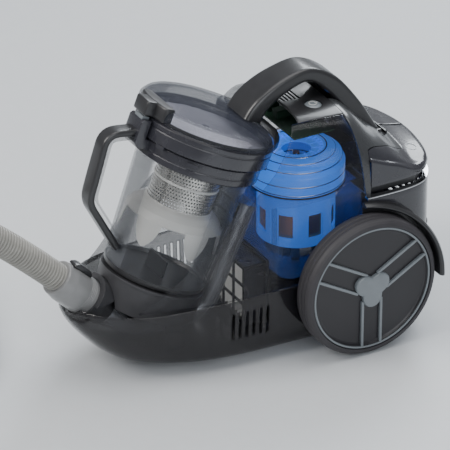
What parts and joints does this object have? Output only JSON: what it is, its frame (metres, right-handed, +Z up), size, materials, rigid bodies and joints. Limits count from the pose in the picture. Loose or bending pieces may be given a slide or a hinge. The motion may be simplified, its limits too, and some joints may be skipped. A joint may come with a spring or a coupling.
{
  "type": "canister vacuum cleaner",
  "caption": "Bagless canister vacuum cleaner with clear dust cup, filter ring, carrying handle, large rear wheels and suction hose ending in a wand handle.",
  "frame": {"origin": "on the floor under the middle of the machine's bounding box, measured without the hose", "axes": "+Z up, -Y towards the hose inlet (front), +X the machine's left side"},
  "size_m": [0.5014, 0.9421, 0.3369],
  "materials": {
    "smoked_shell": "smoked translucent",
    "dark_satin": "satin",
    "grey_gloss": "gloss",
    "graphite": "gloss",
    "clear": "clear",
    "bright_trim": "bright",
    "steel": "machined",
    "rubber": "matt",
    "tyre": "matt",
    "wheel_panel": "satin",
    "accent_grey": "satin",
    "motor_blue": "satin",
    "copper": "wound wire",
    "board": "solder mask",
    "foam": "open foam",
    "paper": "pleated paper",
    "hose": "ribbed",
    "white_plastic": "satin"
  },
  "bodies": {
    "chassis": {"lower_chassis": "smoked_shell", "chassis_screws": "steel", "control_panel": "graphite", "circuit_board": "board", "rear_cover": "grey_gloss", "pivot_pins": "steel", "rear_body": "graphite", "rear_trim": "bright_trim", "pedal_bed": "dark_satin", "pedal_springs": "steel", "fenders": "dark_satin", "wheel_axles": "steel", "inlet_duct": "smoked_shell", "rubber_seals": "rubber", "inlet_collar": "dark_satin", "cup_seat": "dark_satin", "hepa_frame": "graphite", "hepa_pleats": "paper", "exhaust_duct": "smoked_shell", "motor_chamber": "smoked_shell", "motor_mounts": "rubber", "fan_housing": "motor_blue", "motor_casing": "motor_blue", "motor_stator": "copper", "motor_bearings": "steel", "reel_bracket": "steel", "left_side_shell": "smoked_shell", "right_side_shell": "smoked_shell"},
    "left_wheel": {"left_tyre": "tyre", "left_wheel_disc": "wheel_panel", "left_wheel_trim": "accent_grey"},
    "right_wheel": {"right_tyre": "tyre", "right_wheel_disc": "wheel_panel", "right_wheel_trim": "accent_grey"},
    "caster_swivel": {"caster_fork": "dark_satin"},
    "caster_roller": {"caster_wheel": "tyre"},
    "lid": {"cover_window": "clear", "top_cover": "dark_satin", "lid_seal": "rubber", "carry_handle": "dark_satin"},
    "dust_cup": {"cup_wall": "clear", "cup_base": "dark_satin", "cup_collar": "graphite", "cup_handle": "dark_satin", "cyclone_insert": "white_plastic", "cup_seal": "rubber"},
    "cup_button": {"cup_release_button": "accent_grey"},
    "filter": {"filter_ring": "graphite", "prefilter": "foam"},
    "power_switch": {"power_button": "accent_grey"},
    "left_foot_pedal": {"left_pedal": "graphite"},
    "right_foot_pedal": {"right_pedal": "graphite"},
    "armature": {"motor_rotor": "copper", "motor_fan": "steel"},
    "reel": {"cord_reel": "dark_satin"},
    "hose": {"hose_tube": "hose", "hose_cuff": "dark_satin", "wand_handle": "dark_satin"},
    "cuff_catch": {"cuff_latch": "graphite"},
    "air_slider": {"bleed_slider": "accent_grey"}
  },
  "joints": [
    {"name": "left_wheel_spin", "type": "hinge", "parent": "chassis", "child": "left_wheel", "pos_m": [0, 0.103, 0.088], "axis": [1, 0, 0], "continuous": true},
    {"name": "right_wheel_spin", "type": "hinge", "parent": "chassis", "child": "right_wheel", "pos_m": [0, 0.103, 0.088], "axis": [1, 0, 0], "continuous": true},
    {"name": "caster_swivel_turn", "type": "hinge", "parent": "chassis", "child": "caster_swivel", "pos_m": [0, -0.132, 0.02], "axis": [0, 0, 1], "continuous": true},
    {"name": "caster_roll", "type": "hinge", "parent": "caster_swivel", "child": "caster_roller", "pos_m": [0, -0.125, 0.011], "axis": [1, 0, 0], "continuous": true},
    {"name": "lid_hinge", "type": "hinge", "parent": "chassis", "child": "lid", "pos_m": [0, 0.167, 0.221], "axis": [-1, 0, 0], "range_deg": [0, 45]},
    {"name": "cup_slide", "type": "slide", "parent": "chassis", "child": "dust_cup", "axis": [0, -0.9272, 0.3746], "range_m": [0, 0.04]},
    {"name": "cup_button_press", "type": "slide", "parent": "dust_cup", "child": "cup_button", "axis": [0, -0.3746, -0.9272], "range_m": [0, 0.003], "stiffness_N_per_m": 700},
    {"name": "filter_ring_twist", "type": "hinge", "parent": "dust_cup", "child": "filter", "pos_m": [0, -0.044, 0.282], "axis": [0, 0.3746, 0.9272], "range_deg": [0, 20]},
    {"name": "power_button_press", "type": "slide", "parent": "chassis", "child": "power_switch", "axis": [0, 0, -1], "range_m": [0, 0.0025], "stiffness_N_per_m": 900},
    {"name": "left_pedal_press", "type": "hinge", "parent": "chassis", "child": "left_foot_pedal", "pos_m": [0, 0.118, 0.205], "axis": [-1, 0, 0], "range_deg": [0, 3], "stiffness_Nm_per_rad": 40},
    {"name": "right_pedal_press", "type": "hinge", "parent": "chassis", "child": "right_foot_pedal", "pos_m": [0, 0.118, 0.205], "axis": [-1, 0, 0], "range_deg": [0, 3], "stiffness_Nm_per_rad": 40},
    {"name": "motor_spin", "type": "hinge", "parent": "chassis", "child": "armature", "pos_m": [0, 0.076, 0.15], "axis": [0, 0, 1], "continuous": true},
    {"name": "reel_spin", "type": "hinge", "parent": "chassis", "child": "reel", "pos_m": [0, 0.177, 0.1], "axis": [1, 0, 0], "continuous": true},
    {"name": "hose_pull", "type": "slide", "parent": "chassis", "child": "hose", "axis": [0, -0.7071, 0.7071], "range_m": [0, 0.05]},
    {"name": "cuff_latch_press", "type": "slide", "parent": "hose", "child": "cuff_catch", "axis": [0, -0.7071, -0.7071], "range_m": [0, 0.002], "stiffness_N_per_m": 900},
    {"name": "bleed_slide", "type": "slide", "parent": "hose", "child": "air_slider", "axis": [0.3159, -0.9476, 0.0468], "range_m": [0, 0.008]}
  ]
}
